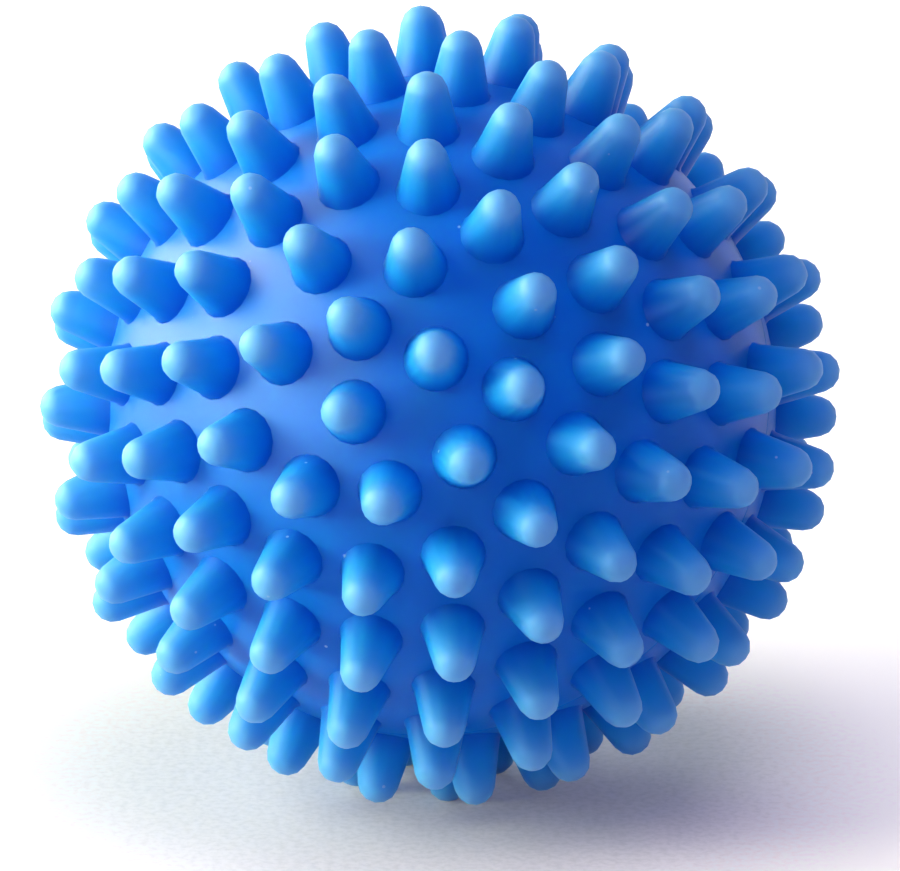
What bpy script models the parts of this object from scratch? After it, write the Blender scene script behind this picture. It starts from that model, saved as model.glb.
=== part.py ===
"""Rubber dryer ball: two hollow half shells covered in blunt spikes, bonded along a seam, and an air plug.

Each half is built round the moulding axis, which runs from the middle of the front half to the air plug in
the middle of the rear half. The spikes stand in rings round that axis. The ball is then laid on the floor, on
the three spikes that it settles on.
"""

import math
from itertools import combinations

import bmesh
import bpy
from mathutils import Euler, Matrix, Vector
from mathutils.bvhtree import BVHTree
from mathutils.geometry import delaunay_2d_cdt

# Shell
SHELL_DIAMETER = 0.0584
WALL = 0.0025

# Spikes: a cone with a ball end, and a small fillet round its foot
SPIKE_LENGTH = 0.0058
SPIKE_TIP_RADIUS = 0.0018
SPIKE_TAPER = math.radians(15)
FOOT_FILLET = 0.0003
FOOT_SPACING = 0.0002

# Spike rings of one half, from its pole to the seam: how many spikes, and the turn of each ring's first one
RING_COUNTS = (1, 5, 12, 17, 21, 23, 24)
RING_TURNS = tuple(math.radians(turn) for turn in (0.0, 2.1, 15.1, 5.4, 2.4, 13.2, 8.2))
REAR_TURN = math.radians(-79.2)

# Bonded joint between the halves
JOINT_GAP = 0.0003
TONGUE_WIDTH = 0.0012
TONGUE_HEIGHT = 0.0020
LAND_WIDTH = 0.0010
GROOVE_FLOOR = 0.0018

# Air plug, and its seat in the middle of the rear half
PLUG_HEAD_DIAMETER = 0.0052
PLUG_HEAD_THICKNESS = 0.0010
PLUG_STEM_DIAMETER = 0.0026
PLUG_BARB_DIAMETER = 0.0040
PLUG_BARB_LENGTH = 0.0016
NEEDLE_MARK_DIAMETER = 0.0009
NEEDLE_MARK_DEPTH = 0.0005
SEAT_BOSS_DIAMETER = 0.0090
SEAT_BOSS_HEIGHT = 0.0014

# How the ball lies: the lean of its moulding axis from upright, and the way the axis then points
AXIS_LEAN = math.radians(60.7)
AXIS_HEADING = math.radians(-105.3)

# Fineness of the round surfaces
SHELL_STEPS = 40
ARC_STEPS = 7
SPIKE_SIDES = 7
TIP_STEPS = 2
PLUG_STEPS = 24
SHARP_ANGLE = math.radians(40)
MERGE_DISTANCE = 1e-6
MOST_ROLLS = 20

BLUE_RUBBER = (0.035, 0.205, 0.745, 1.0)

# Worked out from the sizes above
SHELL_RADIUS = SHELL_DIAMETER / 2
APEX_RADIUS = SHELL_RADIUS + SPIKE_LENGTH
RING_PITCH = math.pi / (2 * len(RING_COUNTS) - 1)
SEAM_WALL = TONGUE_WIDTH + 2 * (JOINT_GAP + LAND_WIDTH)
SEAM_DEPTH = TONGUE_HEIGHT + JOINT_GAP + GROOVE_FLOOR
UNDER_PLUG_HEAD = SHELL_RADIUS - PLUG_HEAD_THICKNESS
BOSS_FACE = SHELL_RADIUS - WALL - SEAT_BOSS_HEIGHT
BARB_START = BOSS_FACE - JOINT_GAP
OVER = Matrix.Rotation(math.pi, 3, "X")


def clear_scene():
    for item in list(bpy.data.objects):
        bpy.data.objects.remove(item, do_unlink=True)


def soft_material(name, colour, roughness):
    material = bpy.data.materials.new(name)
    material.use_nodes = True
    shader = material.node_tree.nodes["Principled BSDF"]
    shader.inputs["Base Color"].default_value = colour
    shader.inputs["Roughness"].default_value = roughness
    shader.inputs["Metallic"].default_value = 0.0
    material.diffuse_color = colour
    return material


def add_object(name, solid, parent, material=None):
    """Makes an object under its parent. One without a material is a helper, left out of the model."""
    bmesh.ops.recalc_face_normals(solid, faces=solid.faces)
    mesh = bpy.data.meshes.new(name)
    solid.to_mesh(mesh)
    solid.free()
    mesh.shade_smooth()
    mesh.set_sharp_from_angle(angle=SHARP_ANGLE)
    item = bpy.data.objects.new(name, mesh)
    bpy.context.collection.objects.link(item)
    item.parent = parent
    if material:
        mesh.materials.append(material)
    else:
        item.hide_render = True
        item.display_type = "WIRE"
    return item


def cut_away(item, cutter):
    boolean = item.modifiers.new(cutter.name, "BOOLEAN")
    boolean.operation = "DIFFERENCE"
    boolean.solver = "EXACT"
    boolean.object = cutter


def arc(radius, start, end, steps, centre=0.0):
    """Points (distance from the axis, height) on a circle, between two angles measured from the top."""
    angles = [start + (end - start) * step / steps for step in range(steps + 1)]
    return [(radius * math.sin(angle), centre + radius * math.cos(angle)) for angle in angles]


def turned(outline, steps):
    """A bmesh of the outline, given as (distance from the axis, height), spun once round the Z axis."""
    solid = bmesh.new()
    points = [solid.verts.new((distance, 0, height)) for distance, height in outline]
    edges = [solid.edges.new(pair) for pair in zip(points, points[1:])]
    bmesh.ops.spin(
        solid,
        geom=points + edges,
        axis=(0, 0, 1),
        cent=(0, 0, 0),
        angle=math.tau,
        steps=steps,
        use_merge=True,
    )
    bmesh.ops.remove_doubles(solid, verts=solid.verts, dist=MERGE_DISTANCE)
    return solid


def add_turned(solid, outline, steps, turns):
    """Adds a turned surface at each turn, and returns the points round the open edge of each, in order.

    The new points are known by their place in the list, so the solid has had nothing taken out of it before.
    """
    surface = turned(outline, steps)
    surface.verts.index_update()
    rim = {point for edge in surface.edges if edge.is_boundary for point in edge.verts}
    order = [point.index for point in sorted(rim, key=lambda point: math.atan2(point.co.y, point.co.x))]
    pattern = bpy.data.meshes.new("surface")
    surface.to_mesh(pattern)
    surface.free()
    rims = []
    for turn in turns:
        first = len(solid.verts)
        solid.from_mesh(pattern)
        solid.verts.ensure_lookup_table()
        points = solid.verts[first:]
        bmesh.ops.rotate(solid, verts=points, cent=(0, 0, 0), matrix=turn)
        rims.append([points[index] for index in order])
    bpy.data.meshes.remove(pattern)
    return rims


def inner_side():
    """Outline inside either half: up the thick wall at the seam, over its shoulder and along the dome."""
    inner_radius = SHELL_RADIUS - WALL
    shoulder_top = SEAM_DEPTH + SEAM_WALL - WALL
    dome = arc(inner_radius, math.acos(shoulder_top / inner_radius), 0, ARC_STEPS)
    return [(SHELL_RADIUS - SEAM_WALL, SEAM_DEPTH)] + dome


def front_outline():
    """From the outer edge of the seam, round the tongue that hangs below it, to the middle of the inside."""
    face = JOINT_GAP / 2
    tongue_outer = SHELL_RADIUS - LAND_WIDTH - JOINT_GAP
    tongue_inner = tongue_outer - TONGUE_WIDTH
    return [
        (math.sqrt(SHELL_RADIUS**2 - face**2), face),
        (tongue_outer, face),
        (tongue_outer, face - TONGUE_HEIGHT),
        (tongue_inner, face - TONGUE_HEIGHT),
        (tongue_inner, face),
        (SHELL_RADIUS - SEAM_WALL, face),
    ] + inner_side()


def rear_outline():
    """From the outer edge of the seam, round the groove, to the boss behind the plug's seat."""
    face = JOINT_GAP / 2
    groove_outer = SHELL_RADIUS - LAND_WIDTH
    groove_inner = SHELL_RADIUS - SEAM_WALL + LAND_WIDTH
    groove_end = TONGUE_HEIGHT - face + JOINT_GAP
    boss = SEAT_BOSS_DIAMETER / 2
    boss_root = math.sqrt((SHELL_RADIUS - WALL) ** 2 - boss**2)
    return (
        [
            (math.sqrt(SHELL_RADIUS**2 - face**2), face),
            (groove_outer, face),
            (groove_outer, groove_end),
            (groove_inner, groove_end),
            (groove_inner, face),
            (SHELL_RADIUS - SEAM_WALL, face),
        ]
        + [point for point in inner_side() if point[0] > boss]
        + [(boss, boss_root), (boss, BOSS_FACE), (0, BOSS_FACE)]
    )


def foot_room(directions):
    """The widest foot that leaves a strip of bare shell between the spikes and above the seam."""
    closest = min(first.angle(second) for first, second in combinations(directions, 2))
    lowest = min(math.asin(direction.z) for direction in directions)
    seam_edge = math.asin(JOINT_GAP / 2 / SHELL_RADIUS) + 1 - math.cos(math.pi / SHELL_STEPS)
    return SHELL_RADIUS * math.sin(min(closest / 2, lowest - seam_edge)) - FOOT_SPACING / 2


def spike_outline(room):
    """From the tip of a spike down its flank to the outer edge of its fillet, which lies on the shell."""
    tip = arc(SPIKE_TIP_RADIUS, 0, math.pi / 2 - SPIKE_TAPER, TIP_STEPS, APEX_RADIUS - SPIKE_TIP_RADIUS)
    tip_edge, flank_top = tip[-1]
    root = tip_edge + (flank_top - SHELL_RADIUS) * math.tan(SPIKE_TAPER)
    reach = FOOT_FILLET * math.tan((math.pi / 2 - SPIKE_TAPER) / 2)
    foot = min(root + reach, room)
    flank_end = min(root - reach * math.sin(SPIKE_TAPER), foot)
    flank_bottom = flank_top - (flank_end - tip_edge) / math.tan(SPIKE_TAPER)
    return tip + [(flank_end, flank_bottom), (foot, math.sqrt(SHELL_RADIUS**2 - foot**2))]


def spike_directions(turn=0.0, pole_bare=False):
    """Unit vectors along the spikes of one half, its pole up, with the rings turned as one."""
    directions = []
    for ring, (count, ring_turn) in enumerate(zip(RING_COUNTS, RING_TURNS)):
        if ring == 0 and pole_bare:
            continue
        for number in range(count):
            azimuth = turn + ring_turn + math.tau * number / count
            spike = Vector((0, 0, 1))
            spike.rotate(Euler((0, ring * RING_PITCH, azimuth)))
            directions.append(spike)
    return directions


def stretch_wall(solid, seam, feet, bare_points):
    """Closes the outside of a dome with triangles between the seam, the spikes' feet and any bare points.

    They are worked out on a flat map of the dome, projected from the far end of its axis, where a circle stays
    a circle.
    """
    points = seam + [point for foot in feet for point in foot] + bare_points
    flat = [point.co.xy / (SHELL_RADIUS + point.co.z) for point in points]
    order = {point: index for index, point in enumerate(points)}
    outlines = [[order[point] for point in ring] for ring in [seam] + feet]
    _, _, triangles, _, _, sources = delaunay_2d_cdt(flat, [], outlines, 0, 0.0)
    for triangle, source in zip(triangles, sources):
        if source == [0]:
            solid.faces.new([points[index] for index in triangle])


def half_shell(outline, directions, bare_points=()):
    """One closed half, its pole up: the turned inside and seam, the spikes, and the wall between them."""
    solid = bmesh.new()
    seam = add_turned(solid, outline, SHELL_STEPS, [Matrix.Identity(3)])[0]
    turns = [direction.to_track_quat("Z", "Y").to_matrix() for direction in directions]
    feet = add_turned(solid, spike_outline(foot_room(directions)), SPIKE_SIDES, turns)
    stretch_wall(solid, seam, feet, [solid.verts.new(point) for point in bare_points])
    return solid


def seat_outline():
    """The space cut for the air plug: a recess for its head, open outwards, and a hole for its stem."""
    recess = PLUG_HEAD_DIAMETER / 2 + JOINT_GAP
    hole = PLUG_STEM_DIAMETER / 2 + JOINT_GAP
    recess_floor = UNDER_PLUG_HEAD - JOINT_GAP
    return [
        (0, APEX_RADIUS),
        (recess, APEX_RADIUS),
        (recess, recess_floor),
        (hole, recess_floor),
        (hole, BOSS_FACE - WALL),
        (0, BOSS_FACE - WALL),
    ]


def plug_outline():
    """The air plug, head up: a domed head flush with the shell, a stem, and a barb that holds it in."""
    head = PLUG_HEAD_DIAMETER / 2
    stem = PLUG_STEM_DIAMETER / 2
    mark = NEEDLE_MARK_DIAMETER / 2
    dome = arc(SHELL_RADIUS, math.asin(mark / SHELL_RADIUS), math.asin(head / SHELL_RADIUS), TIP_STEPS)
    return (
        [(0, SHELL_RADIUS - NEEDLE_MARK_DEPTH)]
        + dome
        + [
            (head, UNDER_PLUG_HEAD),
            (stem, UNDER_PLUG_HEAD),
            (stem, BARB_START),
            (PLUG_BARB_DIAMETER / 2, BARB_START),
            (stem / 2, BARB_START - PLUG_BARB_LENGTH),
            (0, BARB_START - PLUG_BARB_LENGTH),
        ]
    )


def turned_over(solid):
    """Points the pole of a solid the other way along the moulding axis."""
    bmesh.ops.rotate(solid, verts=solid.verts, cent=(0, 0, 0), matrix=OVER)
    return solid


def settled(attitude, apexes):
    """Rolls the ball until it stands on the three spikes round the point under its centre."""
    hull = bmesh.new()
    for apex in apexes:
        hull.verts.new(apex)
    bmesh.ops.convex_hull(hull, input=hull.verts)
    bmesh.ops.recalc_face_normals(hull, faces=hull.faces)
    facets = BVHTree.FromBMesh(hull)
    hull.free()
    down = Vector((0, 0, -1))
    for _ in range(MOST_ROLLS):
        normal = facets.ray_cast(Vector(), attitude.inverted() @ down)[1]
        attitude = (attitude @ normal).rotation_difference(down) @ attitude
    return attitude


def moulding_axis(apexes):
    """The empty that carries the pieces: at the ball's centre, turned as the ball lies on the floor at 0."""
    attitude = settled(Euler((0, AXIS_LEAN, AXIS_HEADING)).to_quaternion(), apexes)
    axis = bpy.data.objects.new("moulding_axis", None)
    bpy.context.collection.objects.link(axis)
    axis.rotation_mode = "QUATERNION"
    axis.rotation_quaternion = attitude
    axis.location.z = -min((attitude @ apex).z for apex in apexes)
    return axis


def build():
    clear_scene()
    front_spikes = spike_directions()
    rear_spikes = spike_directions(REAR_TURN, pole_bare=True)
    all_spikes = front_spikes + [OVER @ spike for spike in rear_spikes]
    axis = moulding_axis([spike * APEX_RADIUS for spike in all_spikes])

    front = half_shell(front_outline(), front_spikes)
    add_object("front_shell", front, axis, soft_material("front_rubber", BLUE_RUBBER, 0.45))

    rear = turned_over(half_shell(rear_outline(), rear_spikes, bare_points=[(0, 0, SHELL_RADIUS)]))
    rear_shell = add_object("rear_shell", rear, axis, soft_material("rear_rubber", BLUE_RUBBER, 0.45))
    seat = turned_over(turned(seat_outline(), PLUG_STEPS))
    cut_away(rear_shell, add_object("plug_seat_cutter", seat, axis))

    plug = turned_over(turned(plug_outline(), PLUG_STEPS))
    add_object("valve_plug", plug, axis, soft_material("plug_rubber", BLUE_RUBBER, 0.50))


build()
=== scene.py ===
"""Rubber dryer ball, dressed: fine moulded skins for its two halves, its air plug, and a plain pale studio.

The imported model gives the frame. Each half is built here in its moulding frame, with its pole on +Z and its seam in
the XY plane, and is then turned into the attitude in which the ball lies on the floor. Lengths are in metres.
"""

from __future__ import annotations

import logging
import math
from dataclasses import dataclass, field
from enum import Enum

import bpy
import numpy as np
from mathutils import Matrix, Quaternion, Vector
from mathutils.geometry import delaunay_2d_cdt

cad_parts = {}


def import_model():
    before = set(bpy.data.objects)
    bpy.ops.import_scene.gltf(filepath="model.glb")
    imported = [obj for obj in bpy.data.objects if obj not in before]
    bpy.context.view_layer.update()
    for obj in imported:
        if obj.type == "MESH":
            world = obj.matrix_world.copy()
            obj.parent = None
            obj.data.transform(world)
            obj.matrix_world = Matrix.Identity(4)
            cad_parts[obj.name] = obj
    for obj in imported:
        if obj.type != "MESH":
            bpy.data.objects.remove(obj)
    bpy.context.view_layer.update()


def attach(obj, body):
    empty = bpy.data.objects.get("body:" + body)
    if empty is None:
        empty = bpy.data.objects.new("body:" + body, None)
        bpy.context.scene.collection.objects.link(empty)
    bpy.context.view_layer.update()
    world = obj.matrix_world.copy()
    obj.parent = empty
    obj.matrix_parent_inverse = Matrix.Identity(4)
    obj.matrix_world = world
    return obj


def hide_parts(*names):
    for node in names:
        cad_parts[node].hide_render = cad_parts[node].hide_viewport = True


LOG = logging.getLogger("dryer_ball")


class Half(Enum):
    """The two halves of the ball, with the sign of the side of the seam that each pole is on."""

    FRONT = 1
    REAR = -1


@dataclass(frozen=True)
class RestAttitude:
    """How the ball lies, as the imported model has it.

    Attributes:
        turn: The quaternion that takes the moulding frame to the world.
        centre_height: The height of the ball's centre over the floor.
    """

    turn: tuple[float, float, float, float] = (0.5242879, 0.4037049, 0.3052622, -0.6848062)
    centre_height: float = 0.03456221

    @property
    def centre(self) -> np.ndarray:
        """The ball's centre in the world."""
        return np.array((0.0, 0.0, self.centre_height))

    def place(self, points: np.ndarray) -> np.ndarray:
        """Moves points from the moulding frame to the world: each is turned, then lifted to the ball's centre.

        Args:
            points: An array of points, one in each row.

        Returns:
            The points in the world.
        """
        return self.turned(points) + self.centre

    def turned(self, vectors: np.ndarray) -> np.ndarray:
        """Turns vectors from the moulding frame to the world, one in each row."""
        return vectors @ np.array(Quaternion(self.turn).to_matrix()).T


@dataclass(frozen=True)
class BallSizes:
    """Sizes of the ball as a whole, taken from the part.

    Attributes:
        shell_radius: Radius of the wall's outer side.
        wall: Thickness of the wall away from the seam.
        ring_counts: Spikes in each ring of a half, from the pole to the seam.
        ring_turns: Turn of the first spike of each ring, in degrees.
        rear_turn: Turn of the rear half's pattern about its own pole, in degrees.
    """

    shell_radius: float = 0.0292
    wall: float = 0.0025
    ring_counts: tuple[int, ...] = (1, 5, 12, 17, 21, 23, 24)
    ring_turns: tuple[float, ...] = (0.0, 2.1, 15.1, 5.4, 2.4, 13.2, 8.2)
    rear_turn: float = -79.2

    @property
    def ring_pitch(self) -> float:
        """Angle between neighbouring rings; the seam lies half a pitch beyond the last one."""
        return math.pi / (2 * len(self.ring_counts) - 1)

    def spike_directions(self, half: Half) -> np.ndarray:
        """Unit vectors along the spikes of one half, pole up.

        A spike at polar angle p and azimuth a points along (sin p cos a, sin p sin a, cos p).

        Args:
            half: The half. The rear one has its air plug where the front one has its middle spike.

        Returns:
            An array with one direction in each row.
        """
        counts = np.array(self.ring_counts)
        ring = np.repeat(np.arange(len(counts)), counts)
        number = np.arange(len(ring)) - np.repeat(np.cumsum(counts) - counts, counts)
        turn = 0.0 if half is Half.FRONT else self.rear_turn
        azimuth = np.radians(np.array(self.ring_turns)[ring] + turn) + math.tau * number / counts[ring]
        polar = ring * self.ring_pitch
        across = np.sin(polar)
        directions = np.stack((across * np.cos(azimuth), across * np.sin(azimuth), np.cos(polar)), axis=1)
        return directions if half is Half.FRONT else directions[ring > 0]


@dataclass(frozen=True)
class SpikeForm:
    """One blunt spike: a tapering cone with a ball end and a small fillet round its foot.

    Attributes:
        length: From the shell to the tip.
        tip_radius: Radius of the ball end.
        taper: Half angle of the cone, in degrees.
        fillet: Radius of the fillet.
        lean: The furthest that demoulding has pulled a tip sideways.
        shrinkage: The largest share of its length that a spike has lost in cooling.
        least_share: The smallest loss, as a share of the largest.
        free_rise: Spikes up to half this height over the floor are exact, and from 1.5 times it they depart fully.
        seed: Seed of the random draws.
        sides: Facets round the spike.
        tip_steps: Facets from the tip to the flank.
    """

    length: float = 0.0058
    tip_radius: float = 0.0018
    taper: float = 11.0
    fillet: float = 0.0002
    lean: float = 0.00012
    shrinkage: float = 0.02
    least_share: float = 0.2
    free_rise: float = 0.02
    seed: int = 11
    sides: int = 16
    tip_steps: int = 3

    def profile(self, shell_radius: float) -> tuple[np.ndarray, np.ndarray]:
        """The spike's outline, as (distance from its axis, height over the ball's centre), from tip to foot.

        The tip is an arc of angles a, with points (sin a, cos a) times the tip's radius, that ends where it meets
        the flank's slope. The fillet is so small that it is one facet, from where it leaves the flank to where it
        meets the shell. It is shaded as the flank is, so that no bright line of its own runs round the foot.

        Args:
            shell_radius: Radius of the shell that the spike stands on.

        Returns:
            The points of the outline, and the outward normal at each.
        """
        taper = math.radians(self.taper)
        centre = shell_radius + self.length - self.tip_radius
        angle = np.linspace(0.0, math.pi / 2 - taper, self.tip_steps + 1)
        tip_normals = np.stack((np.sin(angle), np.cos(angle)), axis=1)
        tip = tip_normals * self.tip_radius + (0.0, centre)
        root = tip[-1, 0] + (tip[-1, 1] - shell_radius) * math.tan(taper)
        reach = self.fillet * math.tan((math.pi / 2 - taper) / 2)
        start = (root - reach * math.sin(taper), shell_radius + reach * math.cos(taper))
        end = (root + reach, math.sqrt(shell_radius**2 - (root + reach) ** 2))
        normals = np.concatenate((tip_normals, tip_normals[-1:], tip_normals[-1:]))
        return np.concatenate((tip, (start, end))), normals

    def departures(self, heights: np.ndarray, shell_radius: float, tip_heights: np.ndarray) -> np.ndarray:
        """How far each spike departs from the exact form, which grows with the square of the height up the spike.

        The spikes close to the floor stay exact, because the ball stands on them.

        Args:
            heights: Heights over the ball's centre of the outline's points.
            shell_radius: Radius of the shell.
            tip_heights: For each spike, the height of its tip over the floor.

        Returns:
            An array of shape (spikes, outline points, 3), with the way that each point moves in its spike's frame.
        """
        freedom = np.clip(tip_heights / self.free_rise - 0.5, 0.0, 1.0)
        chance = np.random.default_rng(self.seed).uniform(size=(3, len(freedom)))
        share = np.clip((heights - shell_radius) / self.length, 0.0, 1.0) ** 2
        size = self.lean * np.sqrt(chance[0]) * freedom
        heading = math.tau * chance[1]
        shrunk = self.least_share + (1 - self.least_share) * chance[2]
        loss = self.length * self.shrinkage * shrunk * freedom
        most = np.stack((size * np.cos(heading), size * np.sin(heading), -loss), axis=1)
        return most[:, None, :] * share[None, :, None]


def ring_points(profile: np.ndarray, steps: int) -> np.ndarray:
    """Turns an outline about Z: the point (r, h) at angle a is (r cos a, r sin a, h).

    Args:
        profile: The outline, as (distance, height) in each row.
        steps: Points round each ring.

    Returns:
        An array of shape (outline points, steps, 3).
    """
    angle = np.arange(steps) * math.tau / steps
    distance = profile[:, :1]
    return np.stack(
        (distance * np.cos(angle), distance * np.sin(angle), np.broadcast_to(profile[:, 1:], (len(profile), steps))),
        axis=2,
    )


def band_faces(rings: np.ndarray) -> np.ndarray:
    """Quads between neighbouring rings of points, closed round each ring.

    Args:
        rings: Point numbers, with one ring in each row of the last two axes.

    Returns:
        An array with the four point numbers of one quad in each row.
    """
    ahead = np.roll(rings, -1, axis=-1)
    quads = np.stack((rings[..., :-1, :], rings[..., 1:, :], ahead[..., 1:, :], ahead[..., :-1, :]), axis=-1)
    return quads.reshape(-1, 4)


def fan_faces(middle: np.ndarray, rings: np.ndarray) -> np.ndarray:
    """Triangles from middle points to the rings round them.

    Args:
        middle: The number of each middle point.
        rings: The point numbers of the ring round each, one ring in each row.

    Returns:
        An array with the three point numbers of one triangle in each row.
    """
    hub = np.broadcast_to(middle[:, None], rings.shape)
    return np.stack((hub, rings, np.roll(rings, -1, axis=-1)), axis=-1).reshape(-1, 3)


def facing_frames(directions: np.ndarray) -> np.ndarray:
    """Right-angled frames whose third axis is each direction.

    The first axis is the cross product of Z and the direction, or of X and the direction where that lies within 26
    degrees of Z or -Z.

    Args:
        directions: Unit vectors, one in each row.

    Returns:
        An array of shape (directions, 3, 3), with the three axes of each frame in its rows.
    """
    helper = np.where(np.abs(directions[:, 2:]) > 0.9, (1.0, 0.0, 0.0), (0.0, 0.0, 1.0))
    first = np.cross(helper, directions)
    first /= np.linalg.norm(first, axis=1, keepdims=True)
    return np.stack((first, np.cross(directions, first), directions), axis=1)


def mesh_object(
    name: str,
    points: np.ndarray,
    faces: list[list[int]],
    sharp_degrees: float = 30.0,
    normals: np.ndarray | None = None,
) -> bpy.types.Object:
    """A smooth-shaded mesh object at the origin, with its place in its mesh.

    Args:
        name: The piece's name.
        points: The points in the world, one in each row.
        faces: The point numbers of each face.
        sharp_degrees: Edges that bend more than this stay sharp.
        normals: Exact normals for the corners of the last faces, one in each row. The corners before them are left
            to the smooth shading.

    Returns:
        The object, linked to the scene.
    """
    mesh = bpy.data.meshes.new(name)
    mesh.from_pydata(points.tolist(), [], faces)
    mesh.shade_smooth()
    mesh.set_sharp_from_angle(angle=math.radians(sharp_degrees))
    if normals is not None:
        free = np.zeros((len(mesh.loops) - len(normals), 3))
        mesh.normals_split_custom_set(np.concatenate((free, normals)).tolist())
    item = bpy.data.objects.new(name, mesh)
    bpy.context.scene.collection.objects.link(item)
    return item


def linear(colour: str) -> tuple[float, float, float, float]:
    """Turns an sRGB hex colour to linear light with full alpha, by the curve of the sRGB standard.

    Args:
        colour: The colour, as #RRGGBB.

    Returns:
        Its red, green, blue and alpha.
    """
    values = [int(colour[place : place + 2], 16) / 255 for place in (1, 3, 5)]
    red, green, blue = (v / 12.92 if v <= 0.04045 else ((v + 0.055) / 1.055) ** 2.4 for v in values)
    return red, green, blue, 1.0


def add_node(tree: bpy.types.NodeTree, kind: str, settings: dict | None = None, **links: object) -> bpy.types.Node:
    """Adds one shader node.

    Args:
        tree: The node tree.
        kind: The node's Blender type.
        settings: Its own properties, such as its operation.
        **links: For each input, named with underscores for its spaces, a value or an output to link from. An input
            that shares its name with others is given by its number, as in input_1.

    Returns:
        The node.
    """
    node = tree.nodes.new(kind)
    for key, value in (settings or {}).items():
        setattr(node, key, value)
    for key, value in links.items():
        numbered = key.startswith("input_")
        socket = node.inputs[int(key.removeprefix("input_")) if numbered else key.replace("_", " ")]
        if isinstance(value, bpy.types.NodeSocket):
            tree.links.new(value, socket)
        else:
            socket.default_value = value
    return node


def seen(tree: bpy.types.NodeTree) -> bpy.types.NodeSocket:
    """Adds the nodes that tell what the camera sees, in itself or by reflection, from light on the object.

    Args:
        tree: The node tree.

    Returns:
        An output that is 1 for the first and 0 for the second.
    """
    paths = add_node(tree, "ShaderNodeLightPath").outputs
    mirrored = add_node(
        tree,
        "ShaderNodeMath",
        {"operation": "MAXIMUM"},
        input_0=paths["Is Glossy Ray"],
        input_1=paths["Is Transmission Ray"],
    ).outputs["Value"]
    return add_node(
        tree, "ShaderNodeMath", {"operation": "MAXIMUM"}, input_0=paths["Is Camera Ray"], input_1=mirrored
    ).outputs["Value"]


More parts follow.
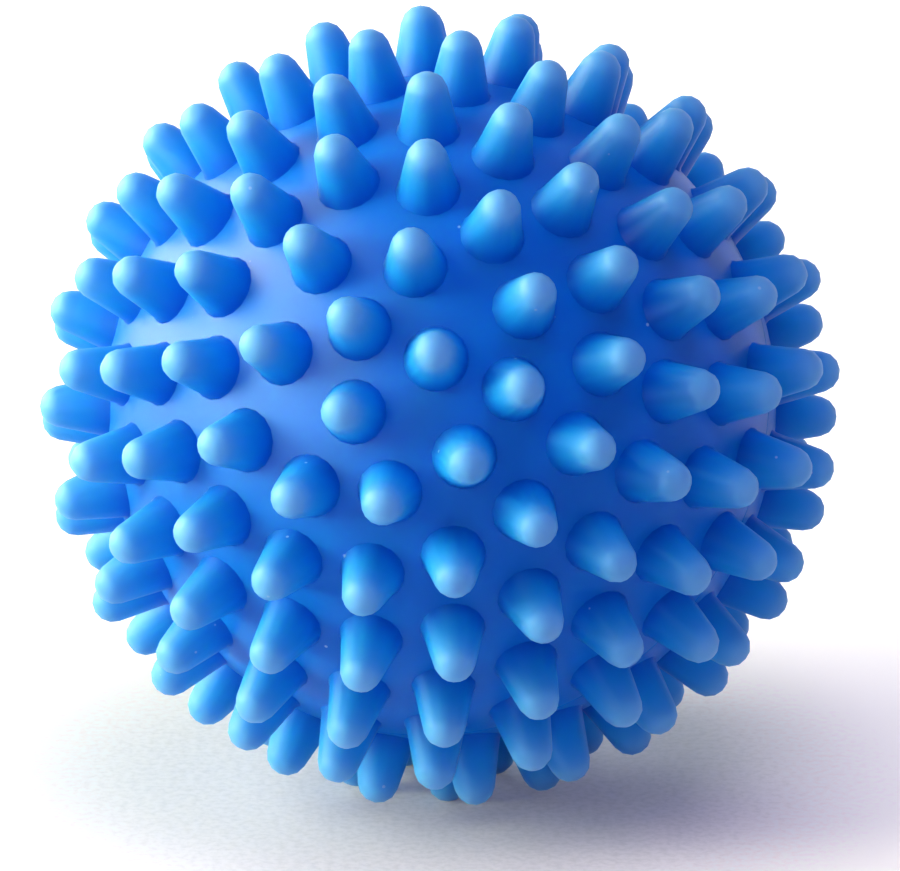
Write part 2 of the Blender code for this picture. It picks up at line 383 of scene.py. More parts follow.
@dataclass(frozen=True)
class MouldedRubber:
    """Soft PVC rubber, slush moulded, with a satin skin.

    The pigment is thin and the rubber a little translucent. The wall has the rubber's deep royal blue; the spikes
    carry painted light, azure on the flanks and a pale sky blue at the tips, where light reaches from all round.

    Attributes:
        name: The material's name.
        wall_colour: Colour of the wall.
        flank_painted_light_colour: Colour of the spikes' flanks, lighter than the wall's with painted light.
        flank_share: Where the flanks have that colour, as a share of the way from the shell to the tips.
        shoulder_painted_light_colour: Colour where the flanks turn into the tips, paler still with painted light.
        shoulder_share: Where they have that one.
        tip_painted_light_colour: Colour of the spikes' tips, a painted glow of the light that reaches them from all
            round.
        cloud_size: Size of the faint clouds in the pigment.
        cloud_sway: How far they move the changes of colour up and down a spike in all, as a share of its length.
        dust_colour: Colour of specks of dust on the skin.
        dust_cell: Size of the cells that hold one speck each.
        dust_core: Distance from a cell's middle up to which its speck is full, as a share of the cell.
        dust_edge: Distance at which the speck ends.
        clean_share: Share of the cells that hold no speck after all.
        wall_roughness: Roughness of the wall, whose mould was polished.
        spike_roughness: Roughness of the spikes, whose drilled cavities were only blasted.
        finish_share: Where the spikes' finish is reached, as a share of their length.
        grain_size: Size of the blasted grains, which is that of the grit.
        grain_roughness: How far the grains vary the roughness in all.
        grain_depth: Depth of the grains.
        grain_strength: Share of that depth that shows.
        gloss_colour: Colour of what the skin mirrors head on. At a grazing angle it mirrors white as white.
        ior: Index of refraction. PVC has 1.52, but its fine grain mirrors less, so this is matched to the photograph.
        scatter_weight: Share of the light that goes into the rubber and spreads there.
        scatter_colour: How far red, green and blue spread, as shares of scatter_depth.
        scatter_depth: How far the light spreads.
    """

    name: str = "soft_pvc_satin"
    wall_colour: str = "#0065D4"
    # The flank, shoulder and tip colours are painted light, paler than the wall's own colour
    flank_painted_light_colour: str = "#0090E2"
    flank_share: float = 0.35
    shoulder_painted_light_colour: str = "#2496E6"
    shoulder_share: float = 0.68
    tip_painted_light_colour: str = "#70ACE8"
    cloud_size: float = 0.004
    cloud_sway: float = 0.2
    dust_colour: str = "#8CB8EC"
    dust_cell: float = 0.0016
    dust_core: float = 0.07
    dust_edge: float = 0.11
    clean_share: float = 0.93
    wall_roughness: float = 0.45
    spike_roughness: float = 0.50
    finish_share: float = 0.1
    grain_size: float = 0.00025
    grain_roughness: float = 0.1
    grain_depth: float = 0.00002
    grain_strength: float = 0.25
    gloss_colour: str = "#A4BEF0"
    ior: float = 1.34
    scatter_weight: float = 0.6
    scatter_colour: tuple[float, float, float] = (0.2, 0.6, 1.0)
    scatter_depth: float = 0.0025

    def make(self, centre: np.ndarray, shell_radius: float, tip_radius: float) -> bpy.types.Material:
        """Builds the material.

        Args:
            centre: The ball's centre in the world.
            shell_radius: Distance from that centre at which the spikes start.
            tip_radius: Distance from it at which they end.

        Returns:
            The material.
        """
        material = bpy.data.materials.new(self.name)
        material.use_nodes = True
        tree = material.node_tree
        shader = tree.nodes["Principled BSDF"]
        place = add_node(tree, "ShaderNodeTexCoord").outputs["Object"]
        centred = add_node(
            tree, "ShaderNodeMapping", Vector=place, Location=(-centre[0], -centre[1], -centre[2])
        ).outputs["Vector"]
        distance = add_node(tree, "ShaderNodeVectorMath", {"operation": "LENGTH"}, input_0=centred).outputs["Value"]
        height = add_node(
            tree, "ShaderNodeMapRange", Value=distance, From_Min=shell_radius, From_Max=tip_radius
        ).outputs["Result"]
        tree.links.new(self.colour(tree, centred, height), shader.inputs["Base Color"])
        roughness, normal = self.skin(tree, centred, height)
        tree.links.new(roughness, shader.inputs["Roughness"])
        tree.links.new(normal, shader.inputs["Normal"])
        shader.inputs["IOR"].default_value = self.ior
        shader.inputs["Specular Tint"].default_value = linear(self.gloss_colour)
        shader.inputs["Subsurface Weight"].default_value = self.scatter_weight
        shader.inputs["Subsurface Radius"].default_value = self.scatter_colour
        shader.inputs["Subsurface Scale"].default_value = self.scatter_depth
        return material

    def colour(
        self, tree: bpy.types.NodeTree, centred: bpy.types.NodeSocket, height: bpy.types.NodeSocket
    ) -> bpy.types.NodeSocket:
        """Adds the nodes of the colour: painted light makes it paler up the spikes, with pigment clouds and a few
        specks of dust.

        Args:
            tree: The material's node tree.
            centred: An output with the place seen from the ball's centre.
            height: An output that runs from 0 at the shell to 1 at the tips.

        Returns:
            An output with the colour.
        """
        clouds = add_node(
            tree, "ShaderNodeTexNoise", Vector=centred, Scale=1 / self.cloud_size, Detail=2.0, Roughness=0.5
        ).outputs["Fac"]
        cloudy = add_node(
            tree,
            "ShaderNodeMath",
            {"operation": "MULTIPLY_ADD"},
            input_0=clouds,
            input_1=self.cloud_sway,
            input_2=-self.cloud_sway / 2,
        ).outputs["Value"]
        level = add_node(
            tree, "ShaderNodeMath", {"operation": "ADD"}, input_0=height, input_1=cloudy
        ).outputs["Value"]
        # Painted light: azure flanks and pale tips, for the light that reaches the spikes from all round
        painted_light_ramp = add_node(tree, "ShaderNodeValToRGB", Fac=level)
        painted_light_ramp.color_ramp.interpolation = "B_SPLINE"
        painted_light_ramp.color_ramp.elements[0].color = linear(self.wall_colour)
        painted_light_ramp.color_ramp.elements[1].color = linear(self.tip_painted_light_colour)
        painted_light_ramp.color_ramp.elements.new(self.flank_share).color = linear(self.flank_painted_light_colour)
        painted_light_ramp.color_ramp.elements.new(self.shoulder_share).color = linear(self.shoulder_painted_light_colour)
        # Specks of dust are about 0.15 mm across and drawn twice as wide as that, so that they show
        cells = add_node(
            tree, "ShaderNodeTexVoronoi", {"voronoi_dimensions": "3D"}, Vector=centred, Scale=1 / self.dust_cell
        ).outputs
        near = add_node(
            tree,
            "ShaderNodeMapRange",
            Value=cells["Distance"],
            From_Min=self.dust_core,
            From_Max=self.dust_edge,
            To_Min=1.0,
            To_Max=0.0,
        ).outputs["Result"]
        chance = add_node(tree, "ShaderNodeSeparateColor", Color=cells["Color"]).outputs["Red"]
        chosen = add_node(
            tree, "ShaderNodeMath", {"operation": "GREATER_THAN"}, input_0=chance, input_1=self.clean_share
        ).outputs["Value"]
        dust = add_node(
            tree, "ShaderNodeMath", {"operation": "MULTIPLY"}, input_0=near, input_1=chosen
        ).outputs["Value"]
        return add_node(
            tree,
            "ShaderNodeMix",
            {"data_type": "RGBA"},
            input_0=dust,
            input_6=painted_light_ramp.outputs["Color"],
            input_7=linear(self.dust_colour),
        ).outputs[2]

    def skin(
        self, tree: bpy.types.NodeTree, centred: bpy.types.NodeSocket, height: bpy.types.NodeSocket
    ) -> tuple[bpy.types.NodeSocket, bpy.types.NodeSocket]:
        """Adds the nodes of the matt skin that a blasted mould leaves, smoother on the wall than on the spikes.

        Args:
            tree: The material's node tree.
            centred: An output with the place seen from the ball's centre.
            height: An output that runs from 0 at the shell to 1 at the tips.

        Returns:
            An output with the roughness, and one with the normal.
        """
        grain = add_node(
            tree, "ShaderNodeTexNoise", Vector=centred, Scale=1 / self.grain_size, Detail=2.0, Roughness=0.6
        ).outputs["Fac"]
        blasted = add_node(
            tree,
            "ShaderNodeMapRange",
            Value=height,
            From_Max=self.finish_share,
            To_Min=self.wall_roughness - self.grain_roughness / 2,
            To_Max=self.spike_roughness - self.grain_roughness / 2,
        ).outputs["Result"]
        roughness = add_node(
            tree,
            "ShaderNodeMath",
            {"operation": "MULTIPLY_ADD"},
            input_0=grain,
            input_1=self.grain_roughness,
            input_2=blasted,
        ).outputs["Value"]
        normal = add_node(
            tree, "ShaderNodeBump", Height=grain, Strength=self.grain_strength, Distance=self.grain_depth
        ).outputs["Normal"]
        return roughness, normal


class Moulding:
    """A moulded piece of the ball.

    Attributes:
        node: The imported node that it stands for.
        slot: The slot of its finish.
    """

    node: str
    slot: str

    def dress(self, piece: bpy.types.Object, rubber: bpy.types.Material) -> None:
        """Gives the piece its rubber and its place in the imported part.

        Args:
            piece: The piece.
            rubber: The rubber that it is moulded in.
        """
        piece.data.materials.append(rubber)
        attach(piece, "root")
        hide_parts(self.node)


@dataclass
class HalfShell(Moulding):
    """One half of the ball: a spiked dome with its seam, and on the rear one the seat of the air plug.

    Attributes:
        half: Which half it is.
        ball: Sizes of the whole ball.
        spike: Form of its spikes.
        seam_gap: Gap between the lands of the two halves, where they show.
        seam_break: How far the edge of the seam is eased.
        joint_gap: Clearance round the tongue.
        tongue_width: Thickness of the tongue.
        tongue_height: How far the tongue stands out of the front half's seam.
        land_width: Width of the flat land on each side of the tongue.
        groove_floor: Material behind the end of the groove.
        seat_radius: Radius of the recess for the plug's head.
        seat_depth: Depth of that recess.
        seat_break: How far the rim of the recess is eased.
        hole_radius: Radius of the hole for the plug's stem.
        boss_radius: Radius of the boss behind the seat.
        boss_height: Height of the boss.
        steps: Facets round the seam.
        dome_points: Points along the inside of the dome.
        bare_spacing: Spacing of the points on the bare wall between the spikes.
        bare_clearance: Their least distance from what stands on the wall, as a share of that spacing.
        sharp_degrees: Edges that bend more than this stay sharp.
    """

    half: Half
    ball: BallSizes
    spike: SpikeForm
    seam_gap: float = 0.0001
    seam_break: float = 0.00007
    joint_gap: float = 0.0003
    tongue_width: float = 0.0012
    tongue_height: float = 0.0020
    land_width: float = 0.0010
    groove_floor: float = 0.0018
    seat_radius: float = 0.0029
    seat_depth: float = 0.0013
    seat_break: float = 0.00015
    hole_radius: float = 0.0016
    boss_radius: float = 0.0045
    boss_height: float = 0.0014
    steps: int = 168
    dome_points: int = 25
    bare_spacing: float = 0.0009
    bare_clearance: float = 0.4
    sharp_degrees: float = 35.0

    @property
    def node(self) -> str:
        """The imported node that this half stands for."""
        return "front_shell" if self.half is Half.FRONT else "rear_shell"

    @property
    def slot(self) -> str:
        """The slot of its finish."""
        return "front_rubber" if self.half is Half.FRONT else "rear_rubber"

    @property
    def rim_radius(self) -> float:
        """Radius at which the recess for the plug's head meets the outside of the shell."""
        return self.seat_radius + self.seat_break

    def seam_profile(self) -> np.ndarray:
        """The seam from its outer edge inwards: the eased edge, a land, the tongue or the groove, and a land.

        Returns:
            The outline's points, as (distance from the axis, height over the seam).
        """
        radius = self.ball.shell_radius
        face = self.seam_gap / 2
        edge = face + self.seam_break
        bore = radius - self.tongue_width - 2 * (self.joint_gap + self.land_width)
        step = self.joint_gap / 2
        if self.half is Half.FRONT:
            outer = radius - self.land_width - self.joint_gap
            inner = outer - self.tongue_width
            end = step - self.tongue_height
        else:
            outer = radius - self.land_width
            inner = bore + self.land_width
            end = self.tongue_height - step + self.joint_gap
        return np.array(
            (
                (math.sqrt(radius**2 - edge**2), edge),
                (radius - self.seam_break, face),
                (outer, face),
                (outer, end),
                (inner, end),
                (inner, step),
                (bore, step),
            )
        )

    def inner_profile(self) -> np.ndarray:
        """The inside from the seam to the pole: a thick collar, its shoulder, and an arc along the dome.

        On the rear half the arc ends at the boss, and the outline goes on up the hole to the recess's rim. That is
        eased with one point in the middle of a quarter circle, where 1 - cos 45 degrees is about 0.3.

        Returns:
            The outline's points, as (distance from the axis, height over the seam).
        """
        radius = self.ball.shell_radius - self.ball.wall
        collar = self.tongue_width + 2 * (self.joint_gap + self.land_width)
        top = self.tongue_height + self.joint_gap + self.groove_floor
        shoulder = top + collar - self.ball.wall
        last = 0.0 if self.half is Half.FRONT else math.asin(self.boss_radius / radius)
        angle = np.linspace(math.acos(shoulder / radius), last, self.dome_points)
        dome = np.stack((radius * np.sin(angle), radius * np.cos(angle)), axis=1)
        start = np.array(((self.ball.shell_radius - collar, top),))
        if self.half is Half.FRONT:
            return np.concatenate((start, dome))
        face = radius - self.boss_height
        floor = self.ball.shell_radius - self.seat_depth
        rim = math.sqrt(self.ball.shell_radius**2 - self.rim_radius**2)
        eased = self.seat_break * 0.3
        seat = np.array(
            (
                (self.boss_radius, face),
                (self.hole_radius, face),
                (self.hole_radius, floor),
                (self.seat_radius, floor),
                (self.seat_radius, rim - self.seat_break),
                (self.seat_radius + eased, rim - eased),
                (self.rim_radius, rim),
            )
        )
        return np.concatenate((start, dome, seat))

    def bare_points(self, directions: np.ndarray, foot: float) -> np.ndarray:
        """Points on the bare wall between the feet of the spikes.

        Point i of n lies at height 1 - i / n and at azimuth i times the golden angle, which spaces them evenly.
        Those on or close to a foot, the seam or the plug's recess are left out.

        Args:
            directions: Unit vectors along the spikes.
            foot: Radius of a spike's foot.

        Returns:
            An array with one point of the wall in each row.
        """
        radius = self.ball.shell_radius
        count = int(math.tau * radius**2 / self.bare_spacing**2)
        index = np.arange(count) + 0.5
        height = 1 - index / count
        azimuth = index * math.pi * (3 - math.sqrt(5))
        across = np.sqrt(1 - height**2)
        points = np.stack((across * np.cos(azimuth), across * np.sin(azimuth), height), axis=1)
        clear = self.bare_spacing * self.bare_clearance
        nearest = (points @ directions.T).max(axis=1)
        keep = (nearest < math.cos((foot + clear) / radius)) & (height * radius > self.seam_gap + clear)
        if self.half is Half.REAR:
            keep &= across * radius > self.rim_radius + clear
        return points[keep] * radius

    def wall_faces(self, points: np.ndarray, outlines: list[np.ndarray], outside: np.ndarray) -> np.ndarray:
        """Triangles of the bare wall, worked out on a flat map of it.

        The map takes (x, y, z) to (x, y) / (radius + z), which projects the dome from the far end of its axis and
        keeps circles as circles. Only triangles inside the seam and outside every foot are kept: those whose one
        source is the first outline.

        Args:
            points: All the points of the half.
            outlines: Point numbers round the seam, then round each foot and the recess.
            outside: The numbers of all the points that the wall uses.

        Returns:
            An array with the three point numbers of one triangle in each row.
        """
        on_wall = points[outside]
        flat = on_wall[:, :2] / (self.ball.shell_radius + on_wall[:, 2:])
        order = np.zeros(len(points), int)
        order[outside] = np.arange(len(outside))
        _, _, triangles, _, _, sources = delaunay_2d_cdt(
            [Vector(pair) for pair in flat.tolist()], [], [order[ring].tolist() for ring in outlines], 0, 0.0
        )
        bare = np.array([len(source) == 1 and source[0] == 0 for source in sources])
        return outside[np.array(triangles)[bare]]

    def build(self, attitude: RestAttitude, rubber: bpy.types.Material) -> bpy.types.Object:
        """Builds and dresses the half: its turned inside and seam, its spikes, and the wall between their feet.

        Args:
            attitude: How the ball lies.
            rubber: The rubber that it is moulded in.

        Returns:
            The piece.
        """
        radius = self.ball.shell_radius
        side = np.array((1.0, self.half.value, self.half.value))
        directions = self.ball.spike_directions(self.half)
        outline = np.concatenate((self.seam_profile(), self.inner_profile()))
        front = self.half is Half.FRONT
        turned = ring_points(outline[:-1] if front else outline, self.steps)
        pole = (outline[-1:, [0, 0, 1]] * (0.0, 0.0, 1.0))[: int(front)]

        profile, slopes = self.spike.profile(radius)
        frames = facing_frames(directions)
        tip_heights = attitude.place(directions * side * profile[0, 1])[:, 2]
        departures = self.spike.departures(profile[:, 1], radius, tip_heights)
        shape = ring_points(profile, self.spike.sides) + departures[:, :, None]
        spikes = np.einsum("drsa,dab->drsb", shape[:, 1:], frames)
        tips = np.einsum("da,dab->db", shape[:, 0, 0], frames)
        spike_normals = np.einsum("rsa,dab->drsb", ring_points(slopes[1:], self.spike.sides), frames)
        bare = self.bare_points(directions, profile[-1, 0])

        blocks = [turned.reshape(-1, 3), pole, spikes.reshape(-1, 3), tips, bare]
        stops = np.cumsum([len(block) for block in blocks])
        turned_at, pole_at, spikes_at, tips_at, bare_at = (
            np.arange(stop - len(block), stop) for block, stop in zip(blocks, stops)
        )
        points = np.concatenate(blocks)
        wall_normals = points / radius
        normals = wall_normals.copy()
        normals[spikes_at] = spike_normals.reshape(-1, 3)
        normals[tips_at] = directions
        turned_at = turned_at.reshape(turned.shape[:2])
        spikes_at = spikes_at.reshape(spikes.shape[:3])

        outlines = [turned_at[0], *spikes_at[:, -1]] + ([] if front else [turned_at[-1]])
        outside = np.concatenate((*outlines, bare_at))
        inner = band_faces(turned_at).tolist() + (fan_faces(pole_at, turned_at[-1:, ::-1]).tolist() if front else [])
        flanks, caps = band_faces(spikes_at), fan_faces(tips_at, spikes_at[:, 0])
        wall = self.wall_faces(points, outlines, outside)
        corners = np.concatenate((normals[flanks.ravel()], normals[caps.ravel()], wall_normals[wall.ravel()])) * side
        faces = inner + flanks.tolist() + caps.tolist() + wall.tolist()
        piece = mesh_object(
            f"{self.node}_skin", attitude.place(points * side), faces, self.sharp_degrees, attitude.turned(corners)
        )
        self.dress(piece, rubber)
        return piece


@dataclass
class AirPlug(Moulding):
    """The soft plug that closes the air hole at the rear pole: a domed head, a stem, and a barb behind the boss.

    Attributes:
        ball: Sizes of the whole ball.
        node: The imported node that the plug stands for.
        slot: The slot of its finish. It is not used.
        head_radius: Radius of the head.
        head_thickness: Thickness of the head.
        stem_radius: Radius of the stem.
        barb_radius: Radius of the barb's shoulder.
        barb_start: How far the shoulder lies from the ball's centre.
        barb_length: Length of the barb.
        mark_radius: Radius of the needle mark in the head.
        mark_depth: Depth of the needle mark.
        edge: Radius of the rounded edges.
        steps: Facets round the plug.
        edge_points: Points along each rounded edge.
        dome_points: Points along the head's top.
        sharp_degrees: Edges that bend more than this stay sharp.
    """

    ball: BallSizes
    node: str = "valve_plug"
    slot: str = "plug_rubber"
    head_radius: float = 0.0026
    head_thickness: float = 0.0010
    stem_radius: float = 0.0013
    barb_radius: float = 0.0020
    barb_start: float = 0.0250
    barb_length: float = 0.0016
    mark_radius: float = 0.00045
    mark_depth: float = 0.0005
    edge: float = 0.00015
    steps: int = 48
    edge_points: int = 5
    dome_points: int = 6
    sharp_degrees: float = 40.0

    def rounded(self, corner: tuple[float, float], start: float, end: float) -> np.ndarray:
        """A quarter or so of a circle that rounds a corner of the outline.

        Its point at angle a is the circle's centre plus the edge's radius times (sin a, cos a).

        Args:
            corner: The circle's centre, as (distance from the axis, height).
            start: The angle of the first point, in degrees from the axis.
            end: The angle of the last point.

        Returns:
            The points of the arc.
        """
        angle = np.radians(np.linspace(start, end, self.edge_points))
        return np.stack((corner[0] + self.edge * np.sin(angle), corner[1] + self.edge * np.cos(angle)), axis=1)

    def profile(self) -> np.ndarray:
        """The outline from the middle of the head's top to the middle of the barb's end.

        The head's top lies on the ball: at distance d from the axis, its height is the root of the shell's radius
        squared less d squared.

        Returns:
            The outline's points, as (distance from the axis, height over the ball's centre).
        """
        radius = self.ball.shell_radius
        under = radius - self.head_thickness
        top = math.sqrt(radius**2 - self.head_radius**2)
        mark = self.rounded((self.mark_radius + self.edge, radius - self.edge), -90.0, 0.0)
        mark_floor = np.array(((0.0, radius - self.mark_depth), (self.mark_radius, radius - self.mark_depth)))
        dome_at = np.linspace(self.mark_radius + 2 * self.edge, self.head_radius - 2 * self.edge, self.dome_points)
        dome = np.stack((dome_at, np.sqrt(radius**2 - dome_at**2)), axis=1)
        rim = self.rounded((self.head_radius - self.edge, top - self.edge), 5.0, 90.0)
        below = self.rounded((self.head_radius - self.edge, under + self.edge), 90.0, 180.0)
        stem = np.array(((self.stem_radius, under), (self.stem_radius, self.barb_start)))
        shoulder = self.rounded((self.barb_radius - self.edge, self.barb_start - self.edge), 0.0, 120.0)
        end = self.barb_start - self.barb_length
        nose = self.rounded((self.stem_radius - self.edge, end + self.edge), 110.0, 180.0)
        return np.concatenate((mark_floor, mark, dome, rim, below, stem, shoulder, nose, np.array(((0.0, end),))))

    def build(self, attitude: RestAttitude, rubber: bpy.types.Material) -> bpy.types.Object:
        """Builds and dresses the plug at the rear pole.

        Args:
            attitude: How the ball lies.
            rubber: The rubber that it is moulded in.

        Returns:
            The piece.
        """
        outline = self.profile()
        rings = ring_points(outline[1:-1], self.steps)
        ends = np.array(((0.0, 0.0, outline[0, 1]), (0.0, 0.0, outline[-1, 1])))
        points = np.concatenate((rings.reshape(-1, 3), ends)) * (1.0, -1.0, -1.0)
        rings_at = np.arange(len(rings) * self.steps).reshape(len(rings), self.steps)
        first, last = np.array((len(points) - 2,)), np.array((len(points) - 1,))
        caps = np.concatenate((fan_faces(first, rings_at[:1]), fan_faces(last, rings_at[-1:, ::-1])))
        faces = band_faces(rings_at).tolist() + caps.tolist()
        piece = mesh_object(f"{self.node}_skin", attitude.place(points), faces, self.sharp_degrees)
        self.dress(piece, rubber)
        return piece


@dataclass(frozen=True)
class PhotographView:
    """The photograph's camera, in front of the ball. Its figures come from a fit of the spikes' tips.

    Attributes:
        elevation: How far above level it stands, in degrees.
        distance: How far it stands from the ball's centre.
        focal_length: Focal length in pixels of the photograph.
        ball_at: Pixel of the photograph, from its top left corner, where the ball's centre lies.
        image_size: Width and height of the photograph in pixels.
        sensor_width: Width of the sensor in millimetres.
        clip_start: Distance from which things are drawn.
    """

    elevation: float = 17.0
    distance: float = 0.818
    focal_length: float = 9404.0
    ball_at: tuple[float, float] = (440.15, 405.3)
    image_size: tuple[float, float] = (900.0, 871.0)
    sensor_width: float = 36.0
    clip_start: float = 0.01

    def build(self, centre: np.ndarray) -> None:
        """Adds the camera and makes it the scene's.

        Args:
            centre: The ball's centre, which it faces.
        """
        width, height = self.image_size
        data = bpy.data.cameras.new("photograph_view")
        data.sensor_fit = "HORIZONTAL"
        data.sensor_width = self.sensor_width
        data.lens = self.focal_length / width * self.sensor_width
        data.shift_x = (width / 2 - self.ball_at[0]) / width
        data.shift_y = (self.ball_at[1] - height / 2) / width
        data.clip_start = self.clip_start
        camera = bpy.data.objects.new(data.name, data)
        elevation = math.radians(self.elevation)
        camera.location = centre + np.array((0.0, -math.cos(elevation), math.sin(elevation))) * self.distance
        camera.rotation_euler = (math.pi / 2 - elevation, 0.0, 0.0)
        bpy.context.scene.collection.objects.link(camera)
        bpy.context.scene.camera = camera


class Role(Enum):
    """What a softbox does: it lights and is mirrored, only lightens the shade, or is only mirrored."""

    LAMP = "lamp"
    FILL = "fill"
    CARD = "card"


@dataclass(frozen=True)
class Softbox:
    """A square area lamp that faces the ball.

    Attributes:
        name: The lamp's name.
        direction: The way from the ball to the lamp.
        distance: How far off it stands.
        size: Length of its sides.
        watts: Its power.
        colour: Its sRGB colour.
        role: What it does.
    """

    name: str
    direction: tuple[float, float, float]
    distance: float
    size: float
    watts: float
    colour: str
    role: Role = Role.LAMP

    def place(self, centre: np.ndarray) -> None:
        """Adds the lamp to the scene.

        Args:
            centre: The point that it faces.
        """
        data = bpy.data.lights.new(self.name, "AREA")
        data.shape = "SQUARE"
        data.size = self.size
        data.energy = self.watts
        data.color = linear(self.colour)[:3]
        lamp = bpy.data.objects.new(self.name, data)
        way = Vector(self.direction).normalized()
        lamp.location = Vector(centre) + way * self.distance
        lamp.rotation_euler = way.to_track_quat("Z", "Y").to_euler()
        lamp.visible_glossy = self.role is not Role.FILL
        lamp.visible_diffuse = self.role is not Role.CARD
        bpy.context.scene.collection.objects.link(lamp)


@dataclass(frozen=True)
class MattPaper:
    """The floor's finish: matt drawing paper, whose flecks show as a faint mottle in the shadow.

    The paper adds a little light of its own, least close to the ball and most far off, where the lamps no longer reach
    and it turns full white.

    Attributes:
        name: The material's name.
        colour: Colour of the paper.
        fleck_colour: Colour of its darker flecks.
        fleck_size: Size of the flecks.
        fleck_range: Level of the noise at which a fleck starts, and level at which it is full.
        fleck_height: How far the flecks stand out.
        fleck_strength: Share of that height that shows.
        roughness: Roughness of the paper.
        lift_colour: Colour of the light that the paper adds for what sees it.
        near_lift: Strength of that light close to the ball, where its shadow lies.
        far_lift: Its strength away from the ball.
        lift_range: Distances from the ball's foot at which the first ends and the second is reached.
        white_range: Distances at which the light starts to rise from the second to 1, and at which it is 1.
    """

    name: str = "matt_paper_sweep"
    colour: str = "#F3E2EA"
    fleck_colour: str = "#E6D5DD"
    fleck_size: float = 0.0007
    fleck_range: tuple[float, float] = (0.40, 0.70)
    fleck_height: float = 0.00005
    fleck_strength: float = 0.2
    roughness: float = 0.9
    lift_colour: str = "#FCFFFA"
    near_lift: float = 0.07
    far_lift: float = 0.48
    lift_range: tuple[float, float] = (0.02, 0.06)
    white_range: tuple[float, float] = (0.1, 1.0)

    def make(self) -> bpy.types.Material:
        """Builds the material.

        Returns:
            The material.
        """
        material = bpy.data.materials.new(self.name)
        material.use_nodes = True
        tree = material.node_tree
        shader = tree.nodes["Principled BSDF"]
        shader.inputs["Roughness"].default_value = self.roughness
        shader.inputs["Specular IOR Level"].default_value = 0.0
        place = add_node(tree, "ShaderNodeTexCoord").outputs["Object"]
        flecks = add_node(
            tree, "ShaderNodeTexNoise", Vector=place, Scale=1 / self.fleck_size, Detail=3.0, Roughness=0.6
        ).outputs["Fac"]
        mottle = add_node(
            tree, "ShaderNodeMapRange", Value=flecks, From_Min=self.fleck_range[0], From_Max=self.fleck_range[1]
        ).outputs["Result"]
        paper = add_node(
            tree,
            "ShaderNodeMix",
            {"data_type": "RGBA"},
            input_0=mottle,
            input_6=linear(self.colour),
            input_7=linear(self.fleck_colour),
        ).outputs[2]
        tree.links.new(paper, shader.inputs["Base Color"])
        bump = add_node(
            tree, "ShaderNodeBump", Height=flecks, Strength=self.fleck_strength, Distance=self.fleck_height
        ).outputs["Normal"]
        tree.links.new(bump, shader.inputs["Normal"])
        away = add_node(tree, "ShaderNodeVectorMath", {"operation": "LENGTH"}, input_0=place).outputs["Value"]
        near = add_node(
            tree,
            "ShaderNodeMapRange",
            {"interpolation_type": "SMOOTHSTEP"},
            Value=away,
            From_Min=self.lift_range[0],
            From_Max=self.lift_range[1],
            To_Min=self.near_lift,
            To_Max=self.far_lift,
        ).outputs["Result"]
        beyond = add_node(
            tree,
            "ShaderNodeMapRange",
            {"interpolation_type": "SMOOTHSTEP"},
            Value=away,
            From_Min=self.white_range[0],
            From_Max=self.white_range[1],
            To_Max=1.0 - self.far_lift,
        ).outputs["Result"]
        glow = add_node(tree, "ShaderNodeMath", {"operation": "ADD"}, input_0=near, input_1=beyond).outputs["Value"]
        lift = add_node(
            tree, "ShaderNodeMath", {"operation": "MULTIPLY"}, input_0=seen(tree), input_1=glow
        ).outputs["Value"]
        tree.links.new(lift, shader.inputs["Emission Strength"])
        shader.inputs["Emission Color"].default_value = linear(self.lift_colour)
        return material


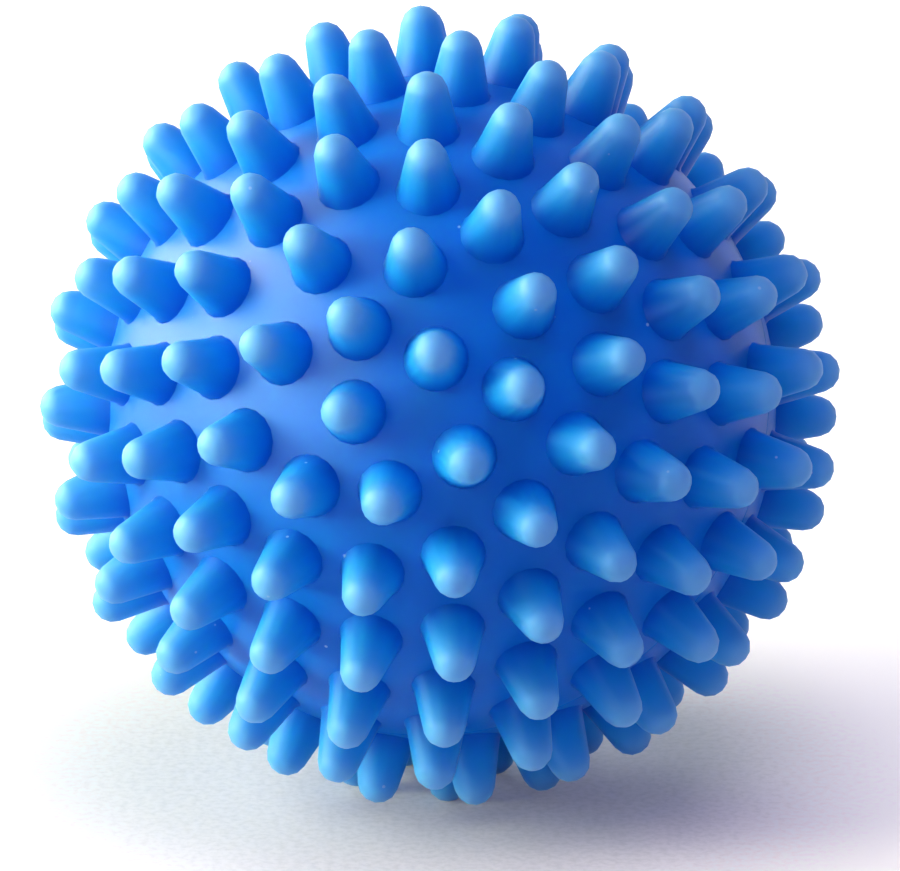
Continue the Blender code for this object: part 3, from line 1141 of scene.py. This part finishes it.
@dataclass
class Studio:
    """Plain pale floor, softboxes and a white surround.

    The photograph's light is a broad window on the left, whose sheen spreads over the left wall, and a weak fill from
    everywhere else. Cards stand behind the lamps and fills of their direction, because two lamps in one place share
    their light.

    Attributes:
        softboxes: The lamps.
        paper: The floor's finish.
        floor_reach: How far the floor reaches from the ball on each side.
    """

    softboxes: list[Softbox] = field(
        default_factory=lambda: [
            Softbox("left_spot", (-0.96, -0.20, 0.20), 1.0, 0.35, 9.2, "#F0FFD0"),
            Softbox("left_window", (-0.95, 0.0, 0.31), 1.0, 0.8, 4.8, "#F0FFD2"),
            Softbox("upper_left_fill", (-0.73, -0.30, 0.62), 1.0, 0.5, 4.3, "#F0FFDC", Role.FILL),
            Softbox("back_left_fill", (-0.45, 0.85, 0.27), 1.0, 0.5, 8.5, "#E8FFE8", Role.FILL),
            Softbox("high_right_fill", (0.15, -0.34, 0.93), 1.0, 0.5, 2.9, "#E4D8FF", Role.FILL),
            Softbox("front_high_fill", (-0.20, -0.75, 0.65), 1.0, 0.6, 0.5, "#F0EEFF", Role.FILL),
            Softbox("front_fill", (0.10, -0.98, 0.20), 1.0, 0.8, 1.3, "#DCD6FF", Role.FILL),
            Softbox("right_fill", (0.92, -0.20, 0.35), 1.0, 0.8, 1.2, "#DCD6FF", Role.FILL),
            Softbox("overhead_fill", (0.0, 0.0, 1.0), 1.0, 0.5, 1.0, "#EEEAFF", Role.FILL),
            Softbox("back_left_card", (-0.80, 0.45, 0.30), 1.1, 1.0, 23.0, "#FFF2BC", Role.CARD),
            Softbox("left_wide_card", (-0.95, 0.10, 0.31), 1.1, 1.3, 44.0, "#FFF2BC", Role.CARD),
            Softbox("left_up_card", (-0.80, 0.15, 0.58), 1.1, 0.6, 15.0, "#FFF2BC", Role.CARD),
            Softbox("left_spot_card", (-0.96, -0.20, 0.20), 1.1, 0.35, 3.0, "#FFF2BC", Role.CARD),
            Softbox("upper_left_card", (-0.73, -0.30, 0.62), 1.1, 0.5, 14.0, "#FFFFBC", Role.CARD),
            Softbox("front_left_card", (-0.69, -0.69, 0.21), 1.1, 0.5, 17.0, "#FFFAC8", Role.CARD),
        ]
    )
    paper: MattPaper = MattPaper()
    floor_reach: float = 3.0

    def build(self, centre: np.ndarray) -> None:
        """Builds the lamps, the floor and the surround.

        Args:
            centre: The ball's centre, which the lamps face.
        """
        for softbox in self.softboxes:
            softbox.place(centre)
        self.build_floor()
        self.build_surround()

    def build_floor(self) -> None:
        """Builds the floor, a level square at height 0."""
        corners = np.array(((-1, -1, 0), (1, -1, 0), (1, 1, 0), (-1, 1, 0))) * self.floor_reach
        floor = mesh_object("studio_floor", corners, [[0, 1, 2, 3]])
        floor.data.materials.append(self.paper.make())

    def build_surround(self) -> None:
        """Builds the world, plain white for what the camera sees and no light on the object."""
        world = bpy.data.worlds.new("studio_surround")
        bpy.context.scene.world = world
        world.use_nodes = True
        tree = world.node_tree
        background = tree.nodes["Background"]
        background.inputs["Color"].default_value = (1.0, 1.0, 1.0, 1.0)
        tree.links.new(seen(tree), background.inputs["Strength"])


def main() -> None:
    """Builds the dressed ball and its studio."""
    logging.basicConfig(level=logging.INFO, format="%(name)s: %(message)s")
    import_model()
    bpy.context.scene.view_settings.view_transform = "Standard"

    attitude = RestAttitude()
    ball = BallSizes()
    spike = SpikeForm()
    rubber = MouldedRubber().make(attitude.centre, ball.shell_radius, ball.shell_radius + spike.length)
    for moulding in (HalfShell(Half.FRONT, ball, spike), HalfShell(Half.REAR, ball, spike), AirPlug(ball)):
        piece = moulding.build(attitude, rubber)
        LOG.info("%s: %d faces", piece.name, len(piece.data.polygons))

    PhotographView().build(attitude.centre)
    Studio().build(attitude.centre)
    bpy.context.view_layer.update()


if __name__ == "__main__":
    main()
